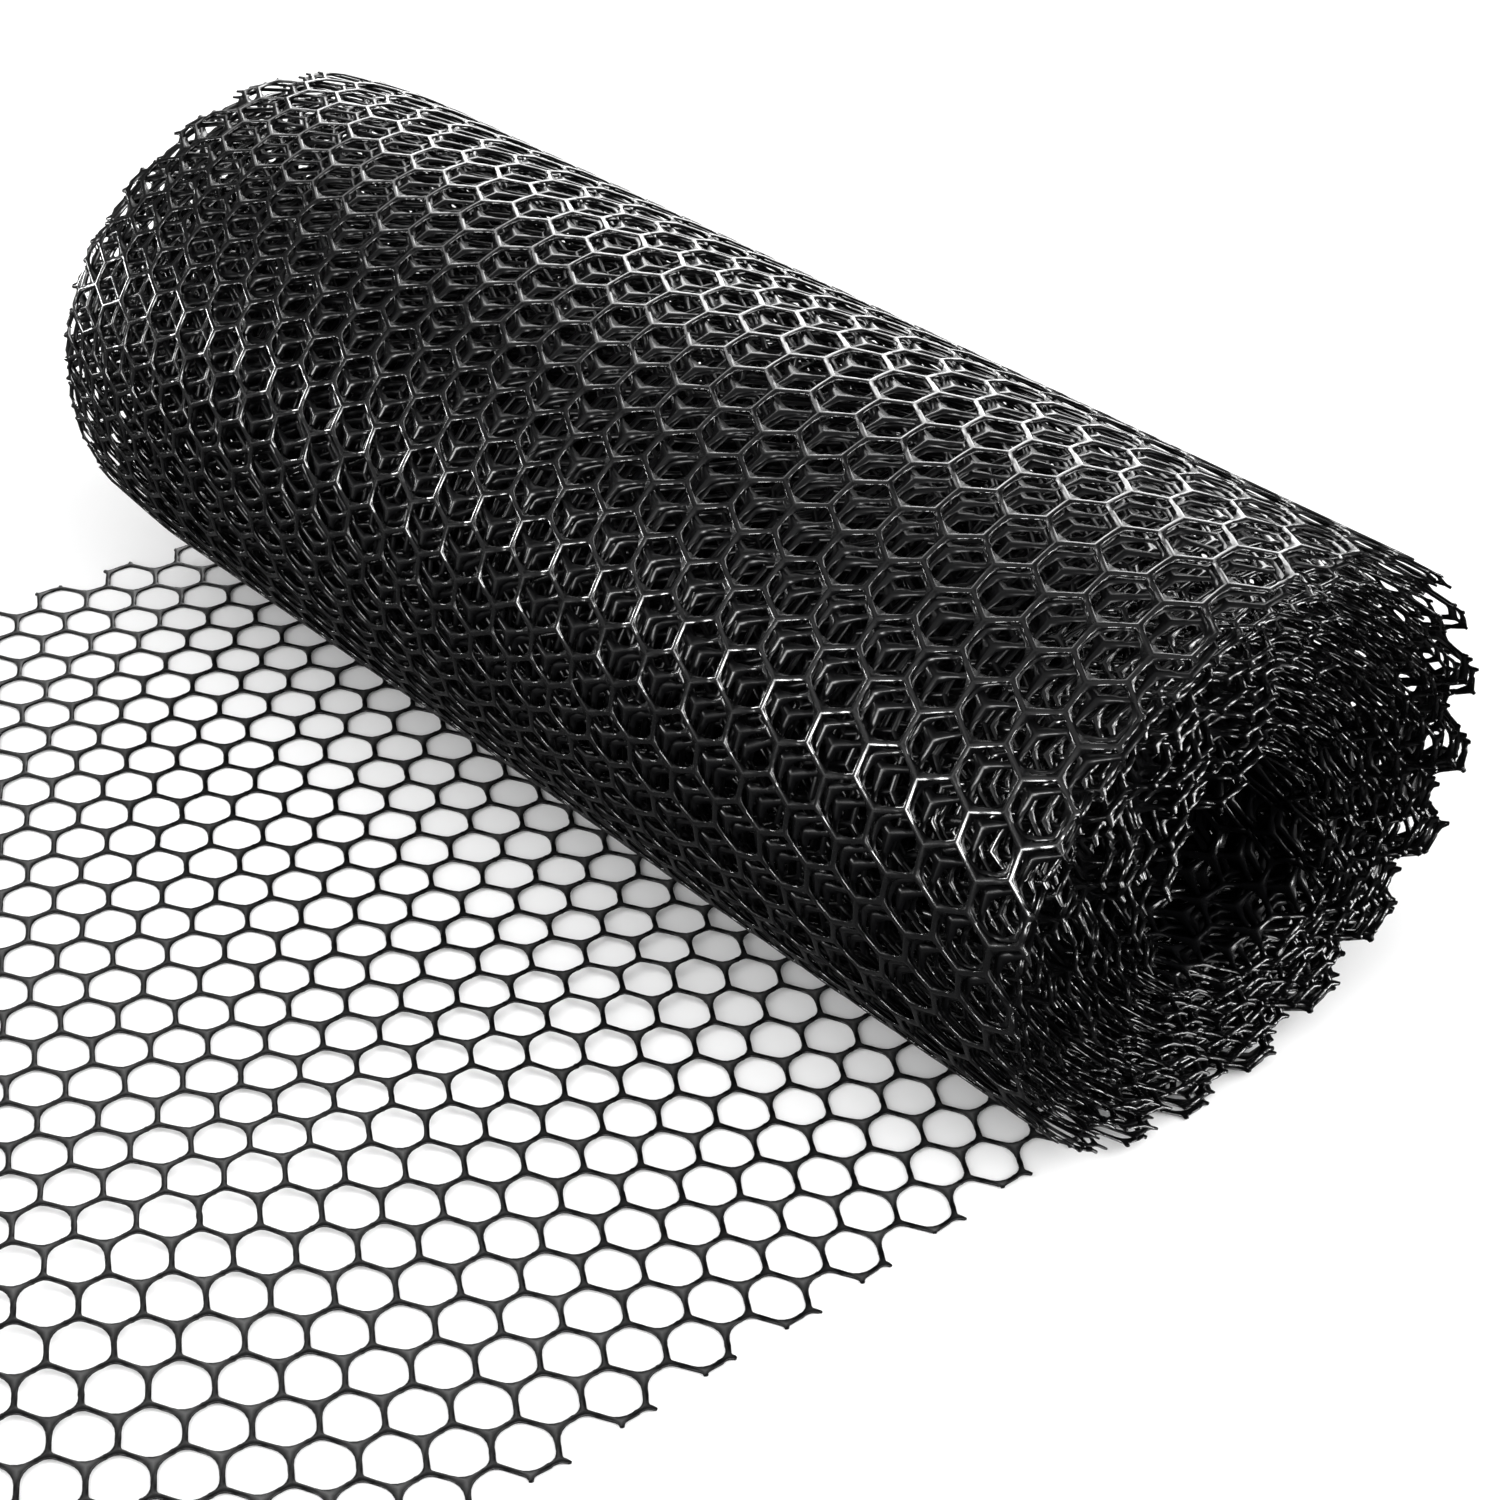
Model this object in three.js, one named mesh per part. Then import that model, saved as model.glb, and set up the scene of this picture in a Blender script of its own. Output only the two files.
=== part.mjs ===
// A roll of black plastic hexagonal net, lying on the floor with its outer end unrolled in front of it.
// Millimetres, +Z up. X runs along the roll, and the loose end lies towards -Y.
// The net is wound from the loose end under the roll, up its back (+Y), over the top and down its front, always inwards.
import * as THREE from "three";

// ---- the net ----
const PITCH = 16; // across one cell, along the roll
const SQUASH = 0.92; // a cell's height along the net against that of a regular hexagon
const CELLS = 25; // cells in a long row; the short rows between them have one fewer
const STUB = 1.6; // how far the cut strand ends stand out of the side edges
const UP = (PITCH / Math.sqrt(3)) * SQUASH; // the strand that runs along the net
const ROW = 1.5 * UP; // from one row of cells to the next
const SHEET = 1.6; // thickness of the loose end with the play of its strands

// ---- the wound roll ----
const LENGTH = 397; // end to end
const R_NEAR = 84.4; // outside radius at the +X end
const R_FAR = 83.5; // and at the -X end
const STEP = 2.7; // how far the turn on top of the loose end lies inside the outermost one
const RAMP = [215, 270]; // the angles (from +Y, over the top) between which a turn drops onto the one below
// where the loosely wound turns stand out of the round or lie inside it: degrees, and mm at the +X and the -X end
const SWELLS = [
  { at: -10, width: 40, near: 14, far: 4 }, // the slack back
  { at: 155, width: 45, near: 6, far: 2 }, // the front
  { at: 222, width: 20, near: 0, far: -3 }, // below it
];
const SAG = 0.45; // what the weight flattens underneath
const SHIFT = 4; // how far the inner turns have slid towards the -X end
const LEAN = { size: 4.2, at: 45 }; // how far the ends stand out on one side of the roll, as the turns run askew
const WAVE = { size: 0.7, turns: 5 }; // the unevenness of the outer turn
const STATIONS = 11;
const AROUND = 112;
const AROUND_HOLLOW = 40;
// the hollow in the middle: angle from +Y over the top, and its radius in cells
const HOLLOW = [
  { angle: 0, cells: 1.75 },
  { angle: 45, cells: 1.42 },
  { angle: 75, cells: 1.62 },
  { angle: 115, cells: 1.52 },
  { angle: 150, cells: 1.68 },
  { angle: 190, cells: 1.85 },
  { angle: 220, cells: 1.98 },
  { angle: 255, cells: 1.98 },
  { angle: 290, cells: 2.45 },
  { angle: 318, cells: 2.95 },
  { angle: 340, cells: 2.35 },
];

// ---- the loose end ----
const LOOSE_ROWS = 24; // rows of cells between the roll and the cut end
const FIRST_ROW = 7.65; // from the roll to the middle of the first of them, a short one
const SKEW = 3.3; // degrees by which it lies askew to the roll
const OFFSET = -15; // how far it has shifted along the roll
const NECK = 0.985; // the net's width in the roll against its width when it lies free
const NECK_OVER = 110; // the length in which it widens
const TURN_OVER = 48; // the length next to the roll in which it turns askew
const GAP = 0.3; // to the roll
const RIDGE = { height: 3.2, across: 80, half: 64, blunt: 5, fade: [12, 70] }; // the low ridge along it
const COLUMNS = [-1, -0.72, -0.48, -0.24, 0, 0.14, 0.25, 0.33, 0.4, 0.47, 0.55, 0.66, 0.82, 1];

// ---- where the floor's centre lies under it, so that the box around it all is centred ----
const ROLL_AT = { x: 15.66, y: 112.14 };

const rad = THREE.MathUtils.degToRad;
const { lerp, smoothstep } = THREE.MathUtils;

// a smooth closed curve through the hollow's table
function hollowRadius(angle) {
  const n = HOLLOW.length;
  const a = ((angle % 360) + 360) % 360;
  let i = n - 1;
  for (let k = 0; k < n; k++) if (HOLLOW[k].angle <= a) i = k;
  const next = HOLLOW[(i + 1) % n];
  const span = (next.angle - HOLLOW[i].angle + 360) % 360;
  const t = (a - HOLLOW[i].angle) / span;
  return lerp(HOLLOW[i].cells, next.cells, (1 - Math.cos(Math.PI * t)) / 2) * PITCH;
}

// the outside of the outer turn at a place along the roll, by angle from -90 (underneath) round to 270
function outerRadius(angle, along) {
  const r = lerp(R_FAR, R_NEAR, along);
  let swell = 0;
  for (const { at, width, near, far } of SWELLS) {
    const off = ((angle - at + 540) % 360) - 180;
    swell += lerp(far, near, along) * Math.exp(-((off / width) ** 2));
  }
  const drop = STEP * smoothstep(angle, RAMP[0], RAMP[1]);
  const wave = WAVE.size * Math.sin(rad(angle * WAVE.turns) + along * 6) * Math.sin(rad(angle + 90) / 2);
  return r + swell - drop + wave;
}

// how far a point at this angle and radius is shifted along the roll by the lean of its ends
function lean(angle, r) {
  return ((LEAN.size * r) / R_NEAR) * Math.cos(rad(angle - LEAN.at));
}

// a geometry from points and the triangles between them
function closed(points, triangles, name, material) {
  const g = new THREE.BufferGeometry();
  g.setAttribute("position", new THREE.Float32BufferAttribute(points.flat(), 3));
  g.setIndex(triangles.flat());
  g.computeVertexNormals();
  const mesh = new THREE.Mesh(g, material);
  mesh.name = name;
  return mesh;
}

const net = new THREE.MeshStandardMaterial({ color: 0x0b0b0c, roughness: 0.3, metalness: 0 });

function makeRoll() {
  const points = [];
  const outer = [];
  const inner = [];
  for (let s = 0; s < STATIONS; s++) {
    const along = s / (STATIONS - 1);
    const x = (along - 0.5) * LENGTH;
    const middle = lerp(R_FAR, R_NEAR, along) - SAG;
    outer.push([]);
    for (let k = 0; k <= AROUND; k++) {
      const angle = -90 + (360 * k) / AROUND;
      const r = outerRadius(angle, along);
      outer[s].push(points.length);
      points.push([x + lean(angle, r), r * Math.cos(rad(angle)), Math.max(0, middle + r * Math.sin(rad(angle)))]);
    }
    inner.push([]);
    for (let k = 0; k < AROUND_HOLLOW; k++) {
      const angle = (360 * k) / AROUND_HOLLOW;
      const r = hollowRadius(angle);
      inner[s].push(points.length);
      points.push([x - SHIFT + lean(angle, r), r * Math.cos(rad(angle)), middle + r * Math.sin(rad(angle))]);
    }
  }
  const triangles = [];
  const skin = (rings, flip) => {
    const n = rings[0].length;
    for (let s = 0; s + 1 < rings.length; s++)
      for (let k = 0; k < n; k++) {
        const [a, b] = [rings[s][k], rings[s][(k + 1) % n]];
        const [c, d] = [rings[s + 1][k], rings[s + 1][(k + 1) % n]];
        if (flip) triangles.push([a, d, b], [a, c, d]);
        else triangles.push([a, b, d], [a, d, c]);
      }
  };
  skin(outer, false);
  skin(inner, true);
  for (const s of [0, STATIONS - 1]) {
    const flat = (ring) => ring.map((i) => new THREE.Vector2(points[i][1], points[i][2]));
    const hole = [...inner[s]].reverse();
    const ids = [...outer[s], ...hole];
    for (const [a, b, c] of THREE.ShapeUtils.triangulateShape(flat(outer[s]), [flat(hole)]))
      triangles.push(s ? [ids[a], ids[b], ids[c]] : [ids[a], ids[c], ids[b]]);
  }
  return closed(points, triangles, "roll", net);
}

// half the width of the net at a distance along it: short and long rows in turn, joined by slanted strands
function halfWidth(along) {
  const phase = (1 - Math.abs((((along - FIRST_ROW) / ROW + 2) % 2) - 1)) * ROW; // from the middle of a short row
  return (CELLS / 2 - 0.5 + 0.5 * Math.min(1, Math.max(0, (phase - UP / 2) / (ROW - UP)))) * PITCH + STUB;
}

// the place on the floor of a point of the net, by its place across and its distance from the roll
function onFloor(across, along) {
  const free = smoothstep(along, 0, TURN_OVER);
  const wide = lerp(NECK, 1, smoothstep(along, 0, NECK_OVER));
  const sin = Math.sin(rad(SKEW));
  const cos = Math.cos(rad(SKEW));
  const off = Math.hypot(across - RIDGE.across, RIDGE.blunt) - RIDGE.blunt;
  const lift =
    RIDGE.height * Math.max(0, 1 - off / RIDGE.half) ** 1.7 * smoothstep(along, RIDGE.fade[0], RIDGE.fade[1]);
  return [
    across * wide + free * OFFSET - along * sin,
    -GAP - along * cos - across * sin * free,
    lift < 0.02 ? 0 : lift,
  ];
}

function makeLooseEnd() {
  const stations = [0];
  for (let row = 0; row < LOOSE_ROWS; row++) {
    const middle = FIRST_ROW + row * ROW;
    stations.push(middle - UP / 2, middle + UP / 2);
  }
  stations.push(FIRST_ROW + (LOOSE_ROWS - 1) * ROW + UP + STUB);
  const points = [];
  const grid = [0, SHEET].map((up) =>
    stations.map((along) =>
      COLUMNS.map((column) => {
        const p = onFloor(column * halfWidth(along), along);
        points.push([p[0], p[1], p[2] + up]);
        return points.length - 1;
      }),
    ),
  );
  const triangles = [];
  const rows = stations.length;
  const columns = COLUMNS.length;
  const quad = (a, b, c, d) => triangles.push([a, b, c], [a, c, d]);
  const [low, high] = grid;
  for (let i = 0; i + 1 < rows; i++)
    for (let j = 0; j + 1 < columns; j++) {
      quad(high[i][j], high[i + 1][j], high[i + 1][j + 1], high[i][j + 1]);
      quad(low[i][j], low[i][j + 1], low[i + 1][j + 1], low[i + 1][j]);
    }
  for (let i = 0; i + 1 < rows; i++) {
    quad(low[i][0], low[i + 1][0], high[i + 1][0], high[i][0]);
    quad(low[i + 1][columns - 1], low[i][columns - 1], high[i][columns - 1], high[i + 1][columns - 1]);
  }
  for (let j = 0; j + 1 < columns; j++) {
    quad(low[0][j + 1], low[0][j], high[0][j], high[0][j + 1]);
    quad(low[rows - 1][j], low[rows - 1][j + 1], high[rows - 1][j + 1], high[rows - 1][j]);
  }
  return closed(points, triangles, "loose_end", net);
}

const part = new THREE.Group();
part.name = "net_roll";
for (const mesh of [makeRoll(), makeLooseEnd()]) {
  mesh.position.set(ROLL_AT.x, ROLL_AT.y, 0);
  part.add(mesh);
}

export default part;
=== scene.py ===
import math

import bpy
import numpy as np
from mathutils import Matrix, Vector


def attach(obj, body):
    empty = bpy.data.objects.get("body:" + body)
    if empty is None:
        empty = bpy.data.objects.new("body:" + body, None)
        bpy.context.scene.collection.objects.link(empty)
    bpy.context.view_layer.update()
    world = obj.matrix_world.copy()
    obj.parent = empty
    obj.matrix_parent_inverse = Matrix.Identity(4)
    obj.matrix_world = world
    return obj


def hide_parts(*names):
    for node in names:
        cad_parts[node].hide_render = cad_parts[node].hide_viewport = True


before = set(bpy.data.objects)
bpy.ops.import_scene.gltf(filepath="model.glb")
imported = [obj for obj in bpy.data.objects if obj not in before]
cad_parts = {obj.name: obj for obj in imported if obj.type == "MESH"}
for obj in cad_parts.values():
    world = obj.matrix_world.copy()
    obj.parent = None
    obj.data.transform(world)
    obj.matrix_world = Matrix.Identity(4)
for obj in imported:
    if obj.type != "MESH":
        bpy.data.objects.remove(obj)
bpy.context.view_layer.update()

rng = np.random.RandomState(41)

# ---- the net, in millimetres, as in the CAD model ----
PITCH = 16.0
SQUASH = 0.92
CELLS = 25
ROW = 1.5 * PITCH / math.sqrt(3) * SQUASH  # from one row of cells to the next
RISE = 4.65  # the part of it that the slanted strands take
UP = ROW - RISE  # a strand that runs along the net
FIRST_ROW = 7.65
LOOSE_ROWS = 24
HALF = 0.86  # half the width of a slanted strand
HALF_UP = 1.00  # and of one that runs along the net
THICK = 0.44  # half their thickness
FILLET_PEAK = (7.5, 7.5, 7.5)  # the webbed corners: between arms 0 and 1, 1 and 2, 2 and 0
FILLET_VALLEY = (4.6, 1.6, 4.6)  # the other corners
SLIM, SLIM_CORNER = 0.86, 0.82  # the loose end's strands and corners, which lie stretched flat, against the roll's
JOIN = 0.62  # where along a strand the two corners' patches meet, from the webbed end
STUB_VALLEY = (1.0, 3.0)
STUB_PEAK = (0.5, 1.6)

# ---- the wound roll ----
LENGTH = 397.0
R_NEAR, R_FAR = 84.4, 83.5
RAMP = (215.0, 270.0)
SWELLS = ((-10.0, 40.0, 14.0, 4.0), (155.0, 45.0, 6.0, 2.0), (222.0, 20.0, 0.0, -3.0))
SAG = 0.45
SHIFT = 2.5
LEAN, LEAN_AT = 4.2, 45.0
BACK_IN, BACK_AT, BACK_OVER = 5.0, 22.0, 46.0  # how far the turns' backs are drawn in at the near end
WAVE = dict(size=0.7, turns=5)
TURNS = 27.0
TIGHT_OUT, TIGHT_IN = 0.45, 0.70  # how closely the outer and the innermost turns lie, against the mean
SLID_BY = 2.5  # turns in which the inner ones' slide comes about
PULLED = 4.0  # how much further the far ends of the inner turns stand out
CURL = 0.022  # by what share of its radius the far end curls in
HOLLOW = np.array([
    (0, 1.75), (45, 1.42), (75, 1.62), (115, 1.52), (150, 1.68), (190, 1.85),
    (220, 2.20), (255, 2.30), (290, 2.60), (318, 2.95), (340, 2.35),
])

# ---- the loose end ----
SKEW = math.radians(3.3)
OFFSET = -15.0
NECK, NECK_OVER = 0.985, 110.0
SWING = (-32.0, 144.0)  # the stretch, mostly out of sight, in which it turns askew
RIDGE = dict(height=3.2, across=80.0, half=64.0, blunt=5.0, fade=(12.0, 70.0))

ROLL_AT = np.array([15.66, 112.14, 0.0])


def smooth(x, a, b):
    t = np.clip((x - a) / (b - a), 0, 1)
    return t * t * (3 - 2 * t)


def lerp(a, b, t):
    return a + (b - a) * t


# ---- the section of the winding: two curves, at the far and at the near end ----
def hollow_radius(angle):
    a = np.mod(angle, 360)
    ang = np.append(HOLLOW[:, 0], 360)
    rad = np.append(HOLLOW[:, 1], HOLLOW[0, 1]) * PITCH
    i = np.clip(np.searchsorted(ang, a, side="right") - 1, 0, len(HOLLOW) - 1)
    t = (a - ang[i]) / (ang[i + 1] - ang[i])
    return lerp(rad[i], rad[i + 1], (1 - np.cos(np.pi * t)) / 2)


def turn_count(total):
    """How many turns lie outside the net at this total angle; it drops near the end of each turn."""
    n = np.floor((total + 90) / 360)
    return n + smooth(total - 360 * n, *RAMP)


def winding(total, along):
    """Radius of the net's middle at a total angle from underneath, going up the back."""
    angle = np.mod(total + 90, 360) - 90
    count = turn_count(total)
    deep = np.clip(count / TURNS, 0, 1)
    bend = 3 - 2 * TIGHT_OUT - TIGHT_IN
    deep = TIGHT_OUT * deep + bend * deep**2 + (1 - TIGHT_OUT - bend) * deep**3
    swell = 0
    for at, width, near, far in SWELLS:
        off = np.mod(angle - at + 180, 360) - 180
        swell = swell + lerp(far, near, along) * np.exp(-((off / width) ** 2))
    wave = WAVE["size"] * np.sin(np.radians(angle * WAVE["turns"]) + along * 6) * np.sin(np.radians(angle + 90) / 2)
    outer = lerp(R_FAR, R_NEAR, along) + swell + wave * np.exp(-count / 5) - 0.5
    inner = hollow_radius(angle) + 0.9
    t = np.radians(total)
    uneven = 0.30 * np.sin(1.37 * t + 0.4 + 2.2 * along) + 0.26 * np.sin(2.71 * t + 2.0 - 1.5 * along) + 0.22 * np.sin(4.63 * t + 1.1 + 3 * along)
    return outer + (inner - outer) * deep + uneven * smooth(count, 0.6, 9.0)


TOTAL = np.arange(-90.0, -90.0 + 360 * (TURNS + 0.3), 1.5)
curves = []
for along in (0.0, 1.0):
    r = winding(TOTAL, along)
    middle = lerp(R_FAR, R_NEAR, along) - SAG
    t = np.radians(TOTAL)
    curves.append(np.c_[r * np.cos(t), np.maximum(middle + r * np.sin(t), 0.5)])
steps = np.hypot(*np.diff((curves[0] + curves[1]) / 2, axis=0).T)
ARC = np.r_[0, np.cumsum(steps)]  # length of net from underneath to each of those angles
COUNT = turn_count(TOTAL)
TOTAL_LENGTH = ARC[-1]
LEANS = LEAN * np.cos(np.radians(TOTAL - LEAN_AT)) * (winding(TOTAL, 0.5) / R_NEAR)

# How the cells of the outer turn are drawn out along and around the roll, where it can be seen.
DRAWN_X = dict(pitch=15.902, at=8.436, b=-3.997, bb=-0.522, ab=1.266, aa=7.339)
DRAWN_S = dict(row=12.649, at=27.326, a=4.221, aa=2.965, ab=4.763, bb=-3.931)
DRAWN_FROM, DRAWN_TO = (40.0, 205.0), (490.0, 640.0)


def drawn(u, s):
    """Place along and around the roll of a point of the outer turn."""
    x, y = DRAWN_X, DRAWN_S
    col = x["pitch"] * (u / PITCH - 1)
    row = y["row"] * ((s - ROW + FIRST_ROW) / ROW - 2)
    a, b = col / 200, np.clip((row - 330) / 130, -1.15, 1.15)
    return (col + x["at"] + x["b"] * b + x["bb"] * b * b + x["ab"] * a * b + x["aa"] * a * a,
            row + y["at"] + y["a"] * a + y["aa"] * a * a + y["ab"] * a * b + y["bb"] * b * b)


# How far the net has crept along the winding, so that each turn's cells lie a bit further down than those above it.
def arc_at(total):
    return np.interp(total, TOTAL, ARC)


s_try = np.arange(200.0, 500.0, 0.25)
s_first = np.interp(arc_at(135.0), drawn(np.zeros(len(s_try)), s_try)[1], s_try)
CREEP_DOWN = (0.0, 5.5, 8.5, 17.0)
creep = [0.0]
for turn in (1, 2, 3):
    want = s_first - CREEP_DOWN[turn]
    creep.append((arc_at(360.0 * turn + 135) - want + ROW) % (2 * ROW) - ROW)
CREEP_S, CREEP = [-1e3, 0.0], [0.0, 0.0]
for turn in (1, 2, 3):
    CREEP_S += [arc_at(360.0 * turn - 100), arc_at(360.0 * turn + 40)]
    CREEP += [creep[turn - 1], creep[turn]]


def surface(u, s):
    """Where the net's middle at u across and s along lies, s from the roll's underside inwards."""
    swing = 1 - smooth(s, *SWING)
    wide = lerp(1.0, NECK, 1 - smooth(-s, 0, NECK_OVER))
    x = u * wide + swing * (OFFSET + math.sin(SKEW) * s)
    g = np.where(s < 0, s * math.cos(SKEW), s) - u * math.sin(SKEW) * swing
    # lying on the floor
    off = np.hypot(u - RIDGE["across"], RIDGE["blunt"]) - RIDGE["blunt"]
    lift = RIDGE["height"] * np.maximum(0, 1 - off / RIDGE["half"]) ** 1.7 * smooth(-s, *RIDGE["fade"])
    rise = 0.35 + 0.35 * np.sin(u / 31 + s / 47) * np.sin(s / 39 - u / 83 + 1)
    floor_z = 0.5 + lift + rise * smooth(-s, 5, 60)
    # wound
    q = g + np.interp(g, CREEP_S, CREEP)
    draw_x, draw_q = drawn(u, s)
    draw = smooth(s, *DRAWN_FROM) * (1 - smooth(s, *DRAWN_TO))
    q = np.clip(lerp(q, draw_q, draw), 0, TOTAL_LENGTH)
    count = np.interp(q, ARC, COUNT)
    along_roll = x + np.interp(q, ARC, LEANS) * smooth(q, 0, 60) - SHIFT * (1 - np.exp(-count / SLID_BY))
    along_roll = along_roll - PULLED * smooth(-u, 80, 200) * smooth(count, 0.4, 1.6)
    along_roll = along_roll + (1.3 * np.sin(0.83 * q / 60 + 0.5) + 0.9 * np.sin(q / 37.0)) * smooth(count, 0.3, 1.5)
    off_back = (np.interp(q, ARC, TOTAL) - BACK_AT + 180) % 360 - 180
    back_in = BACK_IN * np.exp(-(off_back / BACK_OVER) ** 2) * smooth(u, 60, 200) * smooth(q, 0, 60)
    x = np.where(g < 0, x, lerp(along_roll, draw_x, draw) - back_in)
    along = np.clip(x / LENGTH + 0.5, -0.05, 1.05)
    y = lerp(np.interp(q, ARC, curves[0][:, 0]), np.interp(q, ARC, curves[1][:, 0]), along)
    z = lerp(np.interp(q, ARC, curves[0][:, 1]), np.interp(q, ARC, curves[1][:, 1]), along)
    curl = 1 - CURL * smooth(-u, 172, 204)
    middle = lerp(R_FAR, R_NEAR, along) - SAG
    y, z = y * curl, middle + (z - middle) * curl
    on_floor = g < 0
    return np.stack([x, np.where(on_floor, g, y), np.where(on_floor, floor_z, z)], axis=-1)


def unit(v):
    return v / np.linalg.norm(v, axis=-1, keepdims=True)


def placed(u, s, h, facing=None):
    """Points of the net's strands, h above its middle, and where they face, given as (across, along, up)."""
    e = 0.6
    across = unit(surface(u + e, s) - surface(u - e, s))
    down = unit(surface(u, s + e) - surface(u, s - e))
    normal = unit(np.cross(across, down))
    points = surface(u, s) + h[..., None] * normal + ROLL_AT
    if facing is None:
        return points
    return points, unit(facing[:, :1] * across + facing[:, 1:2] * down + facing[:, 2:] * normal)


# ---- the net's corners and strands ----
FIRST = -LOOSE_ROWS - 1  # the zigzag at the cut end
LAST = int((TOTAL_LENGTH - 14) / ROW) - 1
PEAK, VALLEY = {}, {}
peak_pos, valley_pos = [], []
for zig in range(FIRST, LAST + 1):
    middle = ROW - FIRST_ROW + ROW * zig  # of the row of cells before this zigzag
    wide_row = zig % 2 == 0
    v = np.arange(CELLS + 1 if wide_row else CELLS) - (CELLS / 2 if wide_row else (CELLS - 1) / 2)
    p = np.arange(CELLS if wide_row else CELLS + 1) - ((CELLS - 1) / 2 if wide_row else CELLS / 2)
    VALLEY[zig] = np.arange(len(v)) + sum(len(a) for a in valley_pos)
    PEAK[zig] = np.arange(len(p)) + sum(len(a) for a in peak_pos)
    valley_pos.append(np.c_[v * PITCH, np.full(len(v), middle + UP / 2)])
    peak_pos.append(np.c_[p * PITCH, np.full(len(p), middle + UP / 2 + RISE)])
peak_pos = np.concatenate(peak_pos)
valley_pos = np.concatenate(valley_pos)


def uneven_cells(pos):
    u, s = pos.T
    du = 0.3 * np.sin(u / 41 + s / 67 + 1) + 0.2 * np.sin(u / 19 - s / 29)
    ds = 0.3 * np.sin(u / 53 - s / 37) + 0.25 * np.sin(u / 23 + s / 71 + 2)
    # the turns under the outer ones lie less evenly
    inside = smooth(s, 800, 1500)[:, None]
    more = np.c_[2.6 * np.sin(u / 47 + s / 311 + 0.6) + 1.5 * np.sin(s / 173 - u / 29), 2.4 * np.sin(u / 61 - s / 267 + 2) + 1.6 * np.sin(u / 33 + s / 141)]
    return pos + np.c_[du, ds] + more * inside + rng.normal(0, 1, pos.shape) * lerp(0.16, 0.5, inside)


peak_pos = uneven_cells(peak_pos)
valley_pos = uneven_cells(valley_pos)

n_peak, n_valley = len(peak_pos), len(valley_pos)
# strand 3*peak + arm goes from that peak: arm 0 on along the net, 1 back to the left, 2 back to the right
far = np.full((n_peak * 3,), -1)
valley_arms = np.full((n_valley, 3), -1)  # the strand in each arm: 0 back, 1 on to the right, 2 on to the left
for zig in range(FIRST, LAST + 1):
    p, v = PEAK[zig], VALLEY[zig]
    if zig + 1 in VALLEY:
        far[3 * p] = VALLEY[zig + 1]
        valley_arms[VALLEY[zig + 1], 0] = 3 * p
    if zig % 2 == 0:
        left, right = v[:-1], v[1:]
        pl = pr = p
    else:
        left, right = v, v
        pl, pr = p[1:], p[:-1]
    far[3 * pl + 1] = left
    valley_arms[left, 1] = 3 * pl + 1
    far[3 * pr + 2] = right
    valley_arms[right, 2] = 3 * pr + 2

start = np.repeat(peak_pos, 3, axis=0)
stub = far < 0
to = valley_pos[far]
REST_PEAK = np.array([(0, 1.0), (-PITCH / 2, -RISE), (PITCH / 2, -RISE)])
REST_PEAK /= np.linalg.norm(REST_PEAK, axis=1, keepdims=True)
turned = np.tile(REST_PEAK, (n_peak, 1))
ends = np.where(stub[:, None], start + turned * rng.uniform(*STUB_PEAK, (len(stub), 1)), lerp(start, to, JOIN))
way = np.where(stub[:, None], turned, to - start)
# the cut strands that are left at the valleys
cut_node, cut_arm = np.nonzero(valley_arms < 0)
valley_arms[cut_node, cut_arm] = 3 * n_peak + np.arange(len(cut_node))
REST_VALLEY = np.array([(0, -1.0), (PITCH / 2, RISE), (-PITCH / 2, RISE)])
REST_VALLEY /= np.linalg.norm(REST_VALLEY, axis=1, keepdims=True)
cut_way = REST_VALLEY[cut_arm] + rng.normal(0, 0.10, (len(cut_arm), 2))
cut_way /= np.linalg.norm(cut_way, axis=1, keepdims=True)
strand_end = np.concatenate([ends, valley_pos[cut_node] + cut_way * rng.uniform(*STUB_VALLEY, (len(cut_node), 1))])
strand_way = np.concatenate([way, cut_way])
strand_way /= np.linalg.norm(strand_way, axis=1, keepdims=True)
strand_half = np.where(np.concatenate([stub, np.ones(len(cut_node), bool)]), 0.42, 1.0)
strand_half = strand_half * (1 + rng.normal(0, 0.06, len(strand_half)))
strand_half *= np.where(np.concatenate([np.tile([True, False, False], n_peak), cut_arm == 0]), HALF_UP, HALF)
strand_half *= lerp(SLIM, 1, smooth(strand_end[:, 1], -40, 30))
strand_half *= 1 + 0.8 * smooth(-strand_end[:, 0], 178, 192) * smooth(strand_end[:, 1], 500, 700)  # the dense far end
strand_own = np.concatenate([np.zeros(n_peak * 3, bool), np.ones(len(cut_node), bool)])  # seen from its valley
strand_cut = np.concatenate([stub, np.ones(len(cut_node), bool)])


def rot90(d):
    return np.stack([-d[..., 1], d[..., 0]], axis=-1)


def nodes_of(zigs):
    return np.concatenate([PEAK[z] for z in zigs]), np.concatenate([VALLEY[z] for z in zigs])


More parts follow.
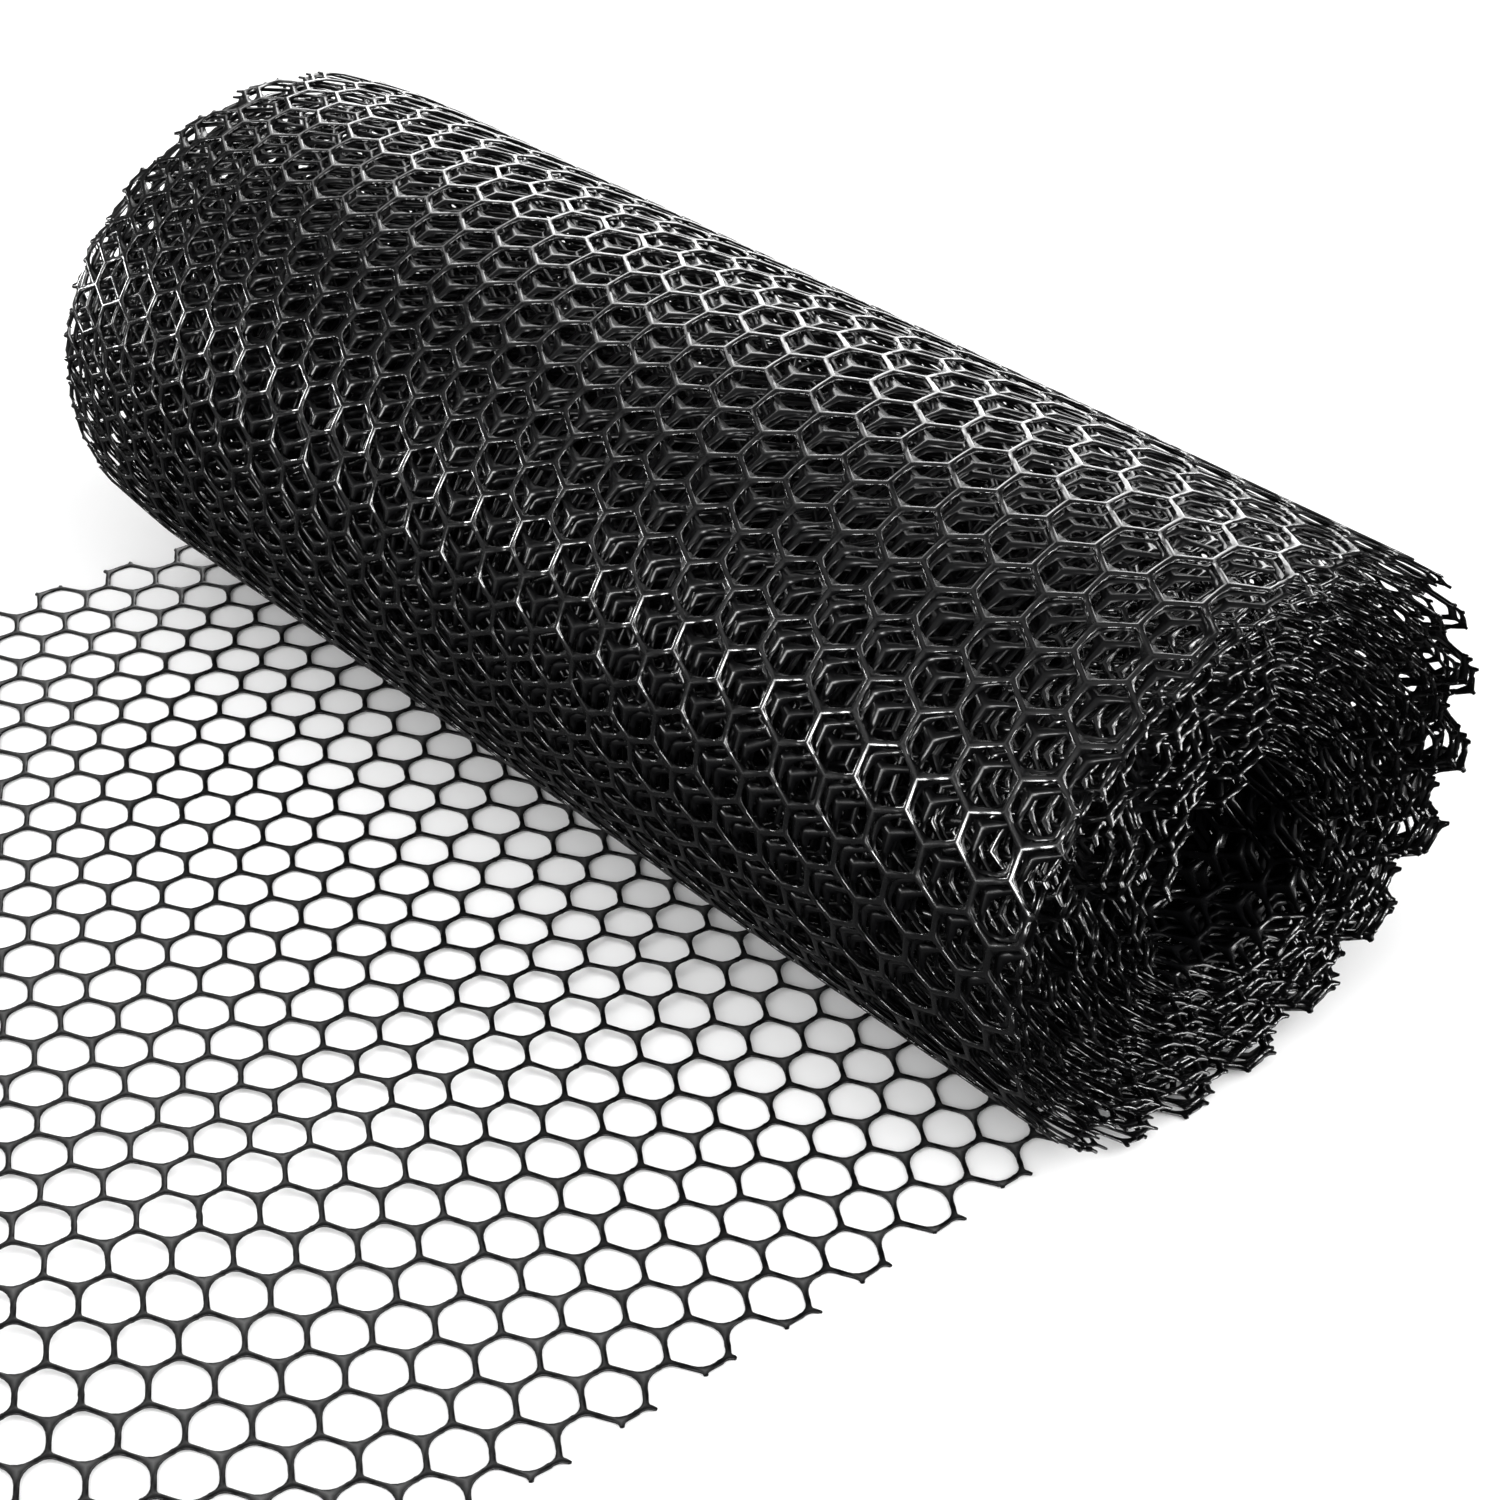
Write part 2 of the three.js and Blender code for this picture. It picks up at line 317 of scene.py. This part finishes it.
def mesh(name, points, faces, painted_web_light, matt_and_painted_shade, facing):
    """A smooth mesh of quads and triangles from arrays, points in millimetres."""
    me = bpy.data.meshes.new(name)
    me.vertices.add(len(points))
    me.vertices.foreach_set("co", (points * 0.001).astype(np.float32).ravel())
    loops = np.concatenate([f.ravel() for f in faces]).astype(np.int32)
    sizes = np.concatenate([np.full(len(f), f.shape[1]) for f in faces])
    me.loops.add(len(loops))
    me.loops.foreach_set("vertex_index", loops)
    me.polygons.add(len(sizes))
    me.polygons.foreach_set("loop_start", (np.cumsum(sizes) - sizes).astype(np.int32))
    me.polygons.foreach_set("use_smooth", np.ones(len(sizes), bool))
    # painted light: a lighter tone on the webs, for light through the thin film where the net lies on the white floor
    me.attributes.new("painted_web_light", "FLOAT", "POINT").data.foreach_set("value", painted_web_light.astype(np.float32))
    me.attributes.new("matt_and_painted_shade", "FLOAT", "POINT").data.foreach_set("value", matt_and_painted_shade.astype(np.float32))
    me.update(calc_edges=True)
    me.normals_split_custom_set_from_vertices(facing.astype(np.float32))
    ob = bpy.data.objects.new(name, me)
    bpy.context.collection.objects.link(ob)
    return ob


def plain_strands(strands, flat, painted_shade=0.0):
    """Strands deep in the roll, each a three-sided bar between its two corners, or where none can be seen a flat one."""
    a, b = peak_pos[strands // 3], valley_pos[far[strands]]
    n = rot90(strand_way[strands]) * strand_half[strands][:, None]
    u, s, h, way, matt_and_painted_shade = [], [], [], [], []
    ridge = ((1, 0.24, -0.9), (0, -THICK, -1.0), (-1, 0.24, -0.9))
    section = ((1, 0.0, -0.9), (-1, 0.0, -0.9)) if flat else ridge + ((1, 0.24, 1.0), (-1, 0.24, 1.0))
    for e in (a, b):
        for side, height, up in section:
            xy = e + n * side
            u.append(xy[:, 0]); s.append(xy[:, 1]); h.append(np.full(len(xy), height))
            way.append(np.c_[unit(n) * side * 1.7 * (up < 0), np.full(len(xy), up)])
            matt_and_painted_shade.append(np.full(len(xy), 0.95 * abs(side) * (up < 0)))
    k, m = len(strands), len(section)
    ids = np.arange(2 * m * k).reshape(2 * m, k)
    sides = ((0, 1),) if flat else ((0, 1), (1, 2), (3, 4))
    quads = [np.stack([ids[i], ids[j], ids[m + j], ids[m + i]], axis=-1) for i, j in sides]
    points, facing = placed(np.concatenate(u), np.concatenate(s), np.concatenate(h), np.concatenate(way))
    # the deeper strands are made matt as painted shade, which dims their reflections
    return points, [np.concatenate(quads)], np.zeros(2 * m * k), np.maximum(np.concatenate(matt_and_painted_shade), painted_shade), facing


def patches(peaks, valleys, full, arcs, painted_web_light_scale=1.0, ridged=False, lens_tilt=1.7, lens_matt=0.95, painted_shade=0.0, dullness_and_painted_shade=0.0):
    """Points, faces, painted light on the webs, matt with painted shade, and facings of these corners with their part
    of each strand.
    full has a rounded section, ridged underneath or not, or else a lens with this tilt and dullness at its edges;
    arcs are the steps in a corner's fillet, painted_web_light_scale is how much painted light lightens the webs,
    dullness_and_painted_shade how matt it all is, a finish on the loose end and painted shade further in, and
    painted_shade how matt it is away from the near edge, as painted shade on the hollow's wall."""
    pos = np.concatenate([peak_pos[peaks], valley_pos[valleys]])
    arms = np.concatenate([3 * peaks[:, None] + np.arange(3), valley_arms[valleys]])
    is_peak = np.r_[np.ones(len(peaks), bool), np.zeros(len(valleys), bool)]
    turn_round = ~is_peak[:, None] & ~strand_own[arms]
    n = len(pos)
    used, arm = np.unique(arms, return_inverse=True)
    arm = arm.reshape(arms.shape)
    d = strand_way[arms] * np.where(turn_round, -1, 1)[..., None]
    normal = rot90(d)
    reach = np.einsum("nij,nij->ni", strand_end[arms] - pos[:, None], d)
    wound = smooth(pos[:, 1:], -40, 30)
    half = HALF * lerp(SLIM, 1, wound)
    half = half * np.minimum(1.0, (strand_half[arms] / half) ** 0.4)
    fillet = np.where(is_peak[:, None], FILLET_PEAK, FILLET_VALLEY) * lerp(SLIM_CORNER, 1, wound)

    U, S, H, W, M, N = [], [], [], [], [], []
    total = 0

    def put(xy, h, painted_web_light, up, out=0.0, matt_and_painted_shade=0.0):
        nonlocal total
        shape = xy.shape[:-1]
        U.append(xy[..., 0].ravel()); S.append(xy[..., 1].ravel())
        H.append(np.broadcast_to(h, shape).ravel()); W.append(np.broadcast_to(painted_web_light, shape).ravel() * painted_web_light_scale)
        M.append(np.broadcast_to(matt_and_painted_shade, shape).ravel())
        out = np.broadcast_to(out, xy.shape).reshape(-1, 2)
        N.append(np.c_[out, np.full(len(out), up)])
        ids = total + np.arange(int(np.prod(shape))).reshape(shape)
        total += ids.size
        return ids

    RIM, RIM_H, TILT = 0.70, 0.84, 0.30  # a flat top that turns over near its edges
    RIDGE_W, RIDGE_H, RIDGE_TILT = 0.60, 0.60, 0.30  # the ridge along the strands' undersides
    # the strands' own sections
    e, w, hw = strand_end[used], rot90(strand_way[used]), strand_half[used][:, None]
    th = THICK * np.minimum(1.0, strand_half[used] / HALF + 0.2)
    at = {}
    at["t"], at["b"] = put(e, th, 0.0, 1.0), put(e, -th, 0.0, -1.0)
    for k, sign in (("l", 1), ("r", -1)):
        if full:
            at[k] = put(e + sign * w * hw, 0.0, 0.0, 0.0, sign * w)
        rim, rim_h, tilt = (RIM, RIM_H, TILT) if full else (1.0, 0.0, lens_tilt)
        rim_matt = 0.0 if full else lens_matt
        at["t" + k] = put(e + sign * w * hw * rim, th * rim_h, 0.0, 1.0, sign * w * tilt, rim_matt)
        if ridged:
            at["b" + k] = put(e + sign * w * np.minimum(hw * RIM, RIDGE_W), -th * RIDGE_H, 0.0, -1.0, sign * w * RIDGE_TILT)
        else:
            at["b" + k] = put(e + sign * w * hw * rim, -th * rim_h, 0.0, -1.0, sign * w * tilt, rim_matt)
    # the corners' middles
    # painted light on the webs: full at the peaks' broad webs, a quarter at the valleys
    painted_web_light = np.where(is_peak, 1.0, 0.25)
    top, bottom = put(pos, THICK, painted_web_light, 1.0), put(pos, -THICK, painted_web_light, -1.0)
    # fillets
    i, j = [0, 1, 2], [1, 2, 0]
    di, dj, ni, nj = d[:, i], d[:, j], normal[:, i], normal[:, j]
    turn = np.arctan2(di[..., 0] * dj[..., 1] - di[..., 1] * dj[..., 0], (di * dj).sum(-1)) % (2 * np.pi)
    hi, hj = half[:, i], half[:, j]
    hm = (hi + hj) / 2
    # a fillet that starts before the patch's end
    room = np.minimum(reach[:, i], reach[:, j]) * 0.92
    rad = np.minimum(fillet, np.maximum(room * np.tan(turn / 2) - hm, 0.15))
    tang = (rad + hm) / np.tan(turn / 2)
    centre_i = pos[:, None] + di * tang[..., None] + ni * (hm + rad)[..., None]
    centre_j = pos[:, None] + dj * tang[..., None] - nj * (hm + rad)[..., None]
    steps_ = np.array([0.5]) if arcs == 0 else np.arange(arcs + 1) / arcs
    edge = []
    for f in steps_:
        a, b = -ni, nj
        omega = np.arccos(np.clip((a * b).sum(-1), -1, 1))
        so = np.sin(omega)
        v = a * (np.sin((1 - f) * omega) / so)[..., None] + b * (np.sin(f * omega) / so)[..., None]
        edge.append(lerp(centre_i, centre_j, f) + v * rad[..., None])
    edge = np.stack(edge, axis=2)  # corner node, corner, step
    along_arm = (tang + tang[:, [2, 0, 1]]) / 2  # of arm c, between its two fillets
    levels = arcs // 2
    bones = []
    for k in range(1, levels + 1):
        xy = pos[:, None] + d * (along_arm * k / levels)[..., None]
        # the webs' painted light fades towards the strands
        share = (1 - k / levels) * painted_web_light[:, None]
        bones.append((put(xy, THICK, share, 1.0), put(xy, -THICK, share, -1.0)))
    mid = []
    for k in range(len(steps_)):
        lv = 0 if arcs == 0 else k - levels
        a = pos[:, None] if lv == 0 else pos[:, None] + (di if lv < 0 else dj) * ((along_arm[:, i] if lv < 0 else along_arm[:, j]) * abs(lv) / levels)[..., None]
        mid.append(np.broadcast_to(a, edge[:, :, k].shape))
    mid = np.stack(mid, axis=2)
    wv = painted_web_light[:, None, None]
    outward = unit(edge - mid)
    spread = np.linalg.norm(edge - mid, axis=-1)
    thin = smooth(spread, 1.0, 2.2) if ridged or not full else 0.0  # the webs, thin and matt, away from the strands' middles
    if full:
        edge_id = put(edge, 0.0, 0.0, 0.0, outward, thin)
        rim = lerp(mid, edge, RIM)
        rim_t = put(rim, THICK * RIM_H, wv * 0.2, 1.0, outward * TILT)
        if ridged:
            rim = mid + outward * np.minimum(spread * RIM, RIDGE_W)[..., None]
            rim_b = put(rim, -THICK * RIDGE_H, wv * 0.2, -1.0, outward * RIDGE_TILT, thin * 0.8)
        else:
            rim_b = put(rim, -THICK * RIM_H, wv * 0.2, -1.0, outward * TILT)
    else:
        thin = np.maximum(thin, lens_matt)
        rim_t, rim_b = put(edge, 0.0, 0.0, 1.0, outward * lens_tilt, thin), put(edge, 0.0, 0.0, -1.0, outward * lens_tilt, thin)

    quads = []

    def strip(inner, outer):
        for k in range(len(inner) - 1):
            quads.append(np.stack([inner[k], outer[k], outer[k + 1], inner[k + 1]], axis=-1))

    for c in range(3):
        a, b = arm[:, c], arm[:, (c + 1) % 3]
        flip_a, flip_b = turn_round[:, c], turn_round[:, (c + 1) % 3]

        def side(key_l, key_r, ids, flip):
            return np.where(flip, at[key_r][ids], at[key_l][ids])

        def bone(which):
            seq = [at["tb"[which]][a]]
            for k in range(len(steps_)):
                lv = 0 if arcs == 0 else k - levels
                seq.append((top, bottom)[which] if lv == 0 else bones[abs(lv) - 1][which][:, c if lv < 0 else (c + 1) % 3])
            return seq + [at["tb"[which]][b]]

        up, low = bone(0), bone(1)
        rt = [side("tl", "tr", a, flip_a)] + [rim_t[:, c, k] for k in range(len(steps_))] + [side("tr", "tl", b, flip_b)]
        rb = [side("bl", "br", a, flip_a)] + [rim_b[:, c, k] for k in range(len(steps_))] + [side("br", "bl", b, flip_b)]
        strip(up, rt)
        strip(rb, low)
        if full:
            edges = [side("l", "r", a, flip_a)] + [edge_id[:, c, k] for k in range(len(steps_))] + [side("r", "l", b, flip_b)]
            strip(rt, edges)
            strip(edges, rb)
    # the ends of cut strands
    cut = np.nonzero(strand_cut[used])[0]
    quads = [np.concatenate(quads)]
    if full:
        quads.append(np.stack([at["tl"][cut], at["bl"][cut], at["br"][cut], at["tr"][cut]], axis=-1))
        tris = [np.stack([at["l"][cut], at["bl"][cut], at["tl"][cut]], axis=-1), np.stack([at["r"][cut], at["tr"][cut], at["br"][cut]], axis=-1),
                np.stack([at["t"][cut], at["tl"][cut], at["tr"][cut]], axis=-1), np.stack([at["b"][cut], at["br"][cut], at["bl"][cut]], axis=-1)]
    else:
        quads.append(np.stack([at["tl"][cut], at["b"][cut], at["tr"][cut], at["t"][cut]], axis=-1))
        tris = []
    points, facing = placed(np.concatenate(U), np.concatenate(S), np.concatenate(H), np.concatenate(N))
    # matt by a set share, a finish on the loose end and painted shade on the turns further in, and fully matt, as
    # painted shade, on the hollow's wall away from the near edge
    M = np.maximum(np.maximum(np.concatenate(M), dullness_and_painted_shade), painted_shade * (1 - smooth(np.concatenate(U), 188, 196)))
    return points, [np.concatenate(quads)] + tris, np.concatenate(W), M, facing


def build(name, *parts):
    """One mesh of several sets of points, faces, painted light on the webs, matt with painted shade, and facings."""
    faces, base = [], 0
    for points, some, *_ in parts:
        faces += [f + base for f in some]
        base += len(points)
    points, _, painted_web_light, matt_and_painted_shade, facing = [np.concatenate(x) if not isinstance(x[0], list) else x for x in zip(*parts)]
    turned = []
    for f in faces:
        a, b, c = points[f[:, 0]], points[f[:, 1]], points[f[:, 2]]
        against = (np.cross(b - a, c - a) * facing[f].mean(1)).sum(1) < 0
        turned.append(np.where(against[:, None], f[:, ::-1], f))
    return mesh(name, points, turned, painted_web_light, matt_and_painted_shade, facing)


def count_of(zig):
    s = max(0.0, ROW - FIRST_ROW + ROW * zig + UP)
    return float(np.interp(s, ARC, (TOTAL + 90) / 360))


by_turn = {}
for zig in range(0, LAST + 1):
    by_turn.setdefault(int(count_of(zig)), []).append(zig)

EDGE = (CELLS / 2 - 2.2) * PITCH  # past this the cut edges show at the roll's ends
NEAR_EDGE = EDGE + 0.3 * PITCH

loose = build("net_loose_end", patches(*nodes_of(range(FIRST, 0)), True, 4, dullness_and_painted_shade=0.85))
half = len(by_turn[0]) // 2
# the roll's turns get only a trace of the webs' painted light, which the loose end on the floor shows in full
turns = [
    build("net_turn_0_back", patches(*nodes_of(by_turn[0][:half]), False, 2, 0.015)),
    build("net_turn_0_front", patches(*nodes_of(by_turn[0][half:]), True, 4, 0.015, ridged=True)),
    # the turns under the outer one are made duller as painted shade, the deeper the more
    build("net_turn_1", patches(*nodes_of(by_turn[1]), False, 2, 0.01, dullness_and_painted_shade=0.40)),
    build("net_turn_2", patches(*nodes_of(by_turn[2]), False, 0, 0.01, dullness_and_painted_shade=0.60)),
]
inner = sorted(t for t in by_turn if t > 2)
SEEN = [t for t in inner if t < 9 or t > inner[-1] - 6]
for group in np.array_split(inner, 5):
    parts = []
    for t in group:
        peaks, valleys = nodes_of(by_turn[t])
        up, vp = peak_pos[peaks, 0], valley_pos[valleys, 0]
        near_p, near_v = up > NEAR_EDGE, vp > NEAR_EDGE
        far_p, far_v = (abs(up) > EDGE) & ~near_p, (abs(vp) > EDGE) & ~near_v
        # the hollow's wall is made matt, as painted shade, so that it reads dark
        painted_shade = 1.0 if t > inner[-1] - 7 else 0.0  # the wall of the hollow
        parts.append(patches(peaks[near_p], valleys[near_v], False, 2, 0.01, lens_tilt=4.0, lens_matt=0.0, painted_shade=painted_shade))
        parts.append(patches(peaks[far_p], valleys[far_v], False, 0, 0.01, lens_tilt=2.0, lens_matt=0.3))
        # the strands further in, and those that join a corner at an edge with one further in
        ends_p = near_p | far_p
        bars = (3 * peaks[~ends_p][:, None] + np.arange(3)).ravel()
        joins = (3 * peaks[ends_p][:, None] + np.arange(3)).ravel()
        joins = joins[far[joins] >= 0]
        joins = joins[abs(valley_pos[far[joins], 0]) <= EDGE]
        # these strands further in are made matt, at least 0.70, as painted shade
        parts.append(plain_strands(np.concatenate([bars[far[bars] >= 0], joins]), t not in SEEN, max(painted_shade, 0.70)))
    turns.append(build(f"net_turns_{group[0]}_to_{group[-1]}", *parts))


# ---- the plastic ----
def plastic():
    mat = bpy.data.materials.new("net_plastic")
    mat.use_nodes = True
    nt = mat.node_tree
    bsdf = nt.nodes["Principled BSDF"]
    bsdf.inputs["IOR"].default_value = 1.5
    new = nt.nodes.new
    link = nt.links.new
    coord = new("ShaderNodeTexCoord")
    painted_web_light = new("ShaderNodeAttribute"); painted_web_light.attribute_name = "painted_web_light"
    grain = new("ShaderNodeTexNoise")
    grain.inputs["Scale"].default_value = 900.0
    grain.inputs["Detail"].default_value = 3.0
    link(coord.outputs["Object"], grain.inputs["Vector"])
    patch = new("ShaderNodeTexNoise")
    patch.inputs["Scale"].default_value = 140.0
    patch.inputs["Detail"].default_value = 2.0
    link(coord.outputs["Object"], patch.inputs["Vector"])
    # base colour: near-black plastic, lightened in random patches on the webs by painted light
    tone = new("ShaderNodeMix"); tone.data_type = "RGBA"
    tone.inputs["A"].default_value = (0.0007, 0.0007, 0.0008, 1)
    tone.inputs["B"].default_value = (0.06, 0.06, 0.06, 1)
    mul = new("ShaderNodeMath"); mul.operation = "MULTIPLY"
    link(painted_web_light.outputs["Fac"], mul.inputs[0])
    link(patch.outputs["Fac"], mul.inputs[1])
    link(mul.outputs[0], tone.inputs["Factor"])
    link(tone.outputs["Result"], bsdf.inputs["Base Color"])
    rough = new("ShaderNodeMapRange")
    rough.inputs["To Min"].default_value = 0.12
    rough.inputs["To Max"].default_value = 0.26
    link(patch.outputs["Fac"], rough.inputs["Value"])
    # how matt each point is: the finish of webs and edges, and painted shade on the deeper turns and the hollow's wall
    matt_and_painted_shade = new("ShaderNodeAttribute"); matt_and_painted_shade.attribute_name = "matt_and_painted_shade"
    dullness_and_painted_shade = new("ShaderNodeMix"); dullness_and_painted_shade.data_type = "FLOAT"
    link(matt_and_painted_shade.outputs["Fac"], dullness_and_painted_shade.inputs["Factor"])
    link(rough.outputs["Result"], dullness_and_painted_shade.inputs["A"])
    dullness_and_painted_shade.inputs["B"].default_value = 0.34
    link(dullness_and_painted_shade.outputs["Result"], bsdf.inputs["Roughness"])
    # matt points reflect almost nothing, which is how the painted shade darkens them
    level = new("ShaderNodeMapRange")
    level.inputs["To Min"].default_value = 0.42
    level.inputs["To Max"].default_value = 0.02
    link(matt_and_painted_shade.outputs["Fac"], level.inputs["Value"])
    link(level.outputs["Result"], bsdf.inputs["Specular IOR Level"])
    bump = new("ShaderNodeBump")
    bump.inputs["Strength"].default_value = 0.10
    bump.inputs["Distance"].default_value = 0.0002
    link(grain.outputs["Fac"], bump.inputs["Height"])
    link(bump.outputs["Normal"], bsdf.inputs["Normal"])
    return mat


black = plastic()
for ob in [loose] + turns:
    ob.data.materials.append(black)
    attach(ob, "root")
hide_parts("loose_end")
for ob in turns:
    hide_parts("roll")


# ---- the floor, and a pale wall far behind it on all sides ----
def stage(name, points, faces, tone):
    me = bpy.data.meshes.new(name)
    me.from_pydata(points, [], faces)
    me.polygons.foreach_set("use_smooth", [True] * len(faces))
    ob = bpy.data.objects.new(name, me)
    bpy.context.collection.objects.link(ob)
    mat = bpy.data.materials.new(name + "_white")
    mat.use_nodes = True
    bsdf = mat.node_tree.nodes["Principled BSDF"]
    bsdf.inputs["Base Color"].default_value = (tone, tone, tone, 1)
    bsdf.inputs["Roughness"].default_value = 0.9
    bsdf.inputs["Specular IOR Level"].default_value = 0.1
    me.materials.append(mat)
    ob.visible_glossy = False  # keeps the roll's underside dark
    return ob


STAGE_R, WALL_H, STAGE_N = 6.0, 4.0, 96
ring = [(STAGE_R * math.cos(2 * math.pi * k / STAGE_N), STAGE_R * math.sin(2 * math.pi * k / STAGE_N)) for k in range(STAGE_N)]
floor = stage("floor", [(x, y, 0.0) for x, y in ring], [tuple(range(STAGE_N))], 0.90)
wall = stage(
    "wall",
    [(x, y, z) for z in (0.0, WALL_H) for x, y in ring],
    [((k + 1) % STAGE_N, k, k + STAGE_N, (k + 1) % STAGE_N + STAGE_N) for k in range(STAGE_N)],
    0.90,
)
wall.visible_diffuse = wall.visible_shadow = False

# ---- camera ----
camera = bpy.data.cameras.new("camera")
camera.sensor_width = 36.0
camera.lens = 2920.47 / 1500 * 36.0
camera.clip_start, camera.clip_end = 0.01, 50.0
cam = bpy.data.objects.new("camera", camera)
bpy.context.collection.objects.link(cam)
right = np.array((0.69473, 0.71792, 0.0441))
up = np.array((-0.43178, 0.36723, 0.82384))
back = np.cross(right, up)
place = (np.array((32.301, -31.81, 32.003)) * PITCH + ROLL_AT) * 0.001
m = np.eye(4)
m[:3, 0], m[:3, 1], m[:3, 2], m[:3, 3] = right, up, back, place
cam.matrix_world = Matrix(m.tolist())
bpy.context.scene.camera = cam


# ---- light: boxes for the net, and one broad light for the floor and the wall ----
net_lit = bpy.data.collections.new("net_lit")
for ob in [loose] + turns:
    net_lit.objects.link(ob)
stage_lit = bpy.data.collections.new("stage_lit")
for ob in (floor, wall):
    stage_lit.objects.link(ob)


def softbox(name, direction, distance, size, radiance, aim=(20.0, 60.0, 60.0)):
    data = bpy.data.lights.new(name, "AREA")
    data.shape = "RECTANGLE"
    data.size, data.size_y = size
    data.energy = radiance * math.pi * size[0] * size[1]
    ob = bpy.data.objects.new(name, data)
    bpy.context.collection.objects.link(ob)
    v = np.array(direction, float)
    v /= np.linalg.norm(v)
    ob.location = np.array(aim) * 0.001 + v * distance
    ob.rotation_euler = Vector(v.tolist()).to_track_quat("Z", "Y").to_euler()
    ob.light_linking.receiver_collection = net_lit
    return ob


world = bpy.data.worlds.new("studio")
bpy.context.scene.world = world
world.use_nodes = True
world.node_tree.nodes["Background"].inputs["Color"].default_value = (1, 1, 1, 1)
world.node_tree.nodes["Background"].inputs["Strength"].default_value = 0.15
softbox("key", (0.72, 0.30, 0.62), 1.4, (0.7, 0.7), 18.0)
softbox("top", (0.0, -0.42, 0.91), 1.5, (2.2, 1.7), 0.55)
softbox("front_high", (-0.1, -0.82, 0.55), 1.7, (2.0, 0.9), 0.65)
softbox("back", (-0.58, 0.70, 0.40), 1.6, (1.1, 1.25), 9.5)
softbox("left_high", (-0.68, 0.30, 0.66), 1.6, (0.9, 0.6), 4.0)
softbox("front", (-0.14, -0.97, 0.15), 3.0, (1.4, 0.85), 70.0)
softbox("left", (-0.93, -0.36, 0.05), 1.5, (0.4, 0.16), 75.0)
softbox("right", (0.82, -0.38, 0.42), 1.5, (0.5, 0.4), 64.0)
softbox("right_back", (0.75, 0.60, 0.28), 1.6, (0.9, 0.5), 33.0)
softbox("near_end", (0.96, -0.20, 0.18), 1.5, (1.1, 0.9), 5.0)
for name, direction, angle, energy in (
    ("floor_key", (0.72, 0.30, 0.62), 50, 2.2),
    ("floor_fill", (0.25, -0.75, 0.61), 110, 5.6),
):
    data = bpy.data.lights.new(name, "SUN")
    data.energy, data.angle = energy, math.radians(angle)
    ob = bpy.data.objects.new(name, data)
    bpy.context.collection.objects.link(ob)
    ob.rotation_euler = Vector(direction).to_track_quat("Z", "Y").to_euler()
    ob.light_linking.receiver_collection = stage_lit
bpy.context.scene.view_settings.view_transform = "Standard"
